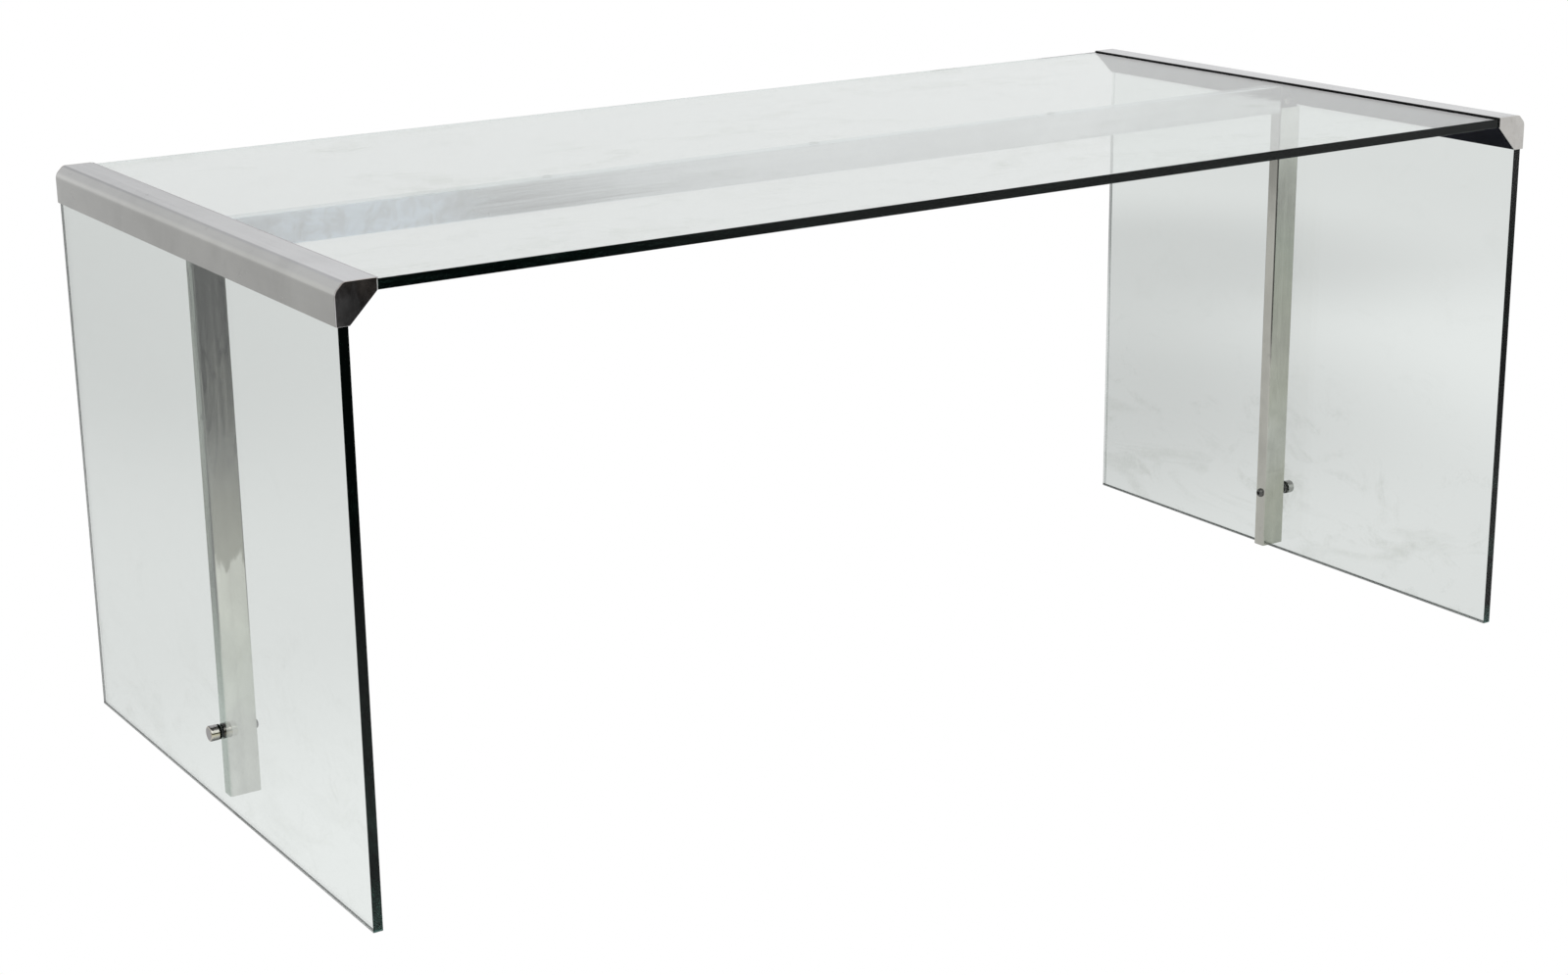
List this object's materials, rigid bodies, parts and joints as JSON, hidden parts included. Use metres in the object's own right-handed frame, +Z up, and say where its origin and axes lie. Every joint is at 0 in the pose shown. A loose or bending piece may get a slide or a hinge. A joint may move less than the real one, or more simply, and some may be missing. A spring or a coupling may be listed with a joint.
{
  "type": "glass desk",
  "caption": "Rectangular desk: clear glass top on two upright glass panels, folded steel corner rails, and a slim steel beam between two upright steel fins.",
  "frame": {"origin": "on the floor, below the centre of the glass top", "axes": "+X along the length of the desk to the right of a person sitting at -Y, +Y to the rear, +Z up"},
  "size_m": [1.786, 0.85, 0.733],
  "materials": {
    "clear_glass": "clear float glass with polished edges",
    "satin_steel": "satin stainless steel",
    "polished_steel": "polished stainless steel",
    "black_lacquer": "smooth black lacquer",
    "black_rubber": "matt black",
    "clear_plastic": "clear soft plastic"
  },
  "bodies": {
    "root": {"top_glass": "clear_glass", "centre_beam": "satin_steel", "left_beam_pad": "clear_plastic", "middle_beam_pad": "clear_plastic", "right_beam_pad": "clear_plastic", "left_leg_glass": "clear_glass", "left_rail_cover": "satin_steel", "left_corner_support": "black_lacquer", "left_front_end_cap": "satin_steel", "left_rear_end_cap": "satin_steel", "left_front_edge_bead": "clear_plastic", "left_rear_edge_bead": "clear_plastic", "left_glazing_seal": "black_rubber", "left_leg_packing": "black_rubber", "left_fin": "satin_steel", "left_fin_plug": "black_rubber", "left_frame_lug": "black_lacquer", "left_rail_lug": "black_lacquer", "left_lug_screw": "polished_steel", "left_lug_nut": "polished_steel", "left_glass_bolt": "polished_steel", "left_knob_washer": "black_rubber", "left_spacer_washer": "black_rubber", "left_glass_bushing": "black_rubber", "left_bolt_knob": "polished_steel", "right_leg_glass": "clear_glass", "right_rail_cover": "satin_steel", "right_corner_support": "black_lacquer", "right_front_end_cap": "satin_steel", "right_rear_end_cap": "satin_steel", "right_front_edge_bead": "clear_plastic", "right_rear_edge_bead": "clear_plastic", "right_glazing_seal": "black_rubber", "right_leg_packing": "black_rubber", "right_fin": "satin_steel", "right_fin_plug": "black_rubber", "right_frame_lug": "black_lacquer", "right_rail_lug": "black_lacquer", "right_lug_screw": "polished_steel", "right_lug_nut": "polished_steel", "right_glass_bolt": "polished_steel", "right_knob_washer": "black_rubber", "right_spacer_washer": "black_rubber", "right_glass_bushing": "black_rubber", "right_bolt_knob": "polished_steel"}
  },
  "joints": []
}
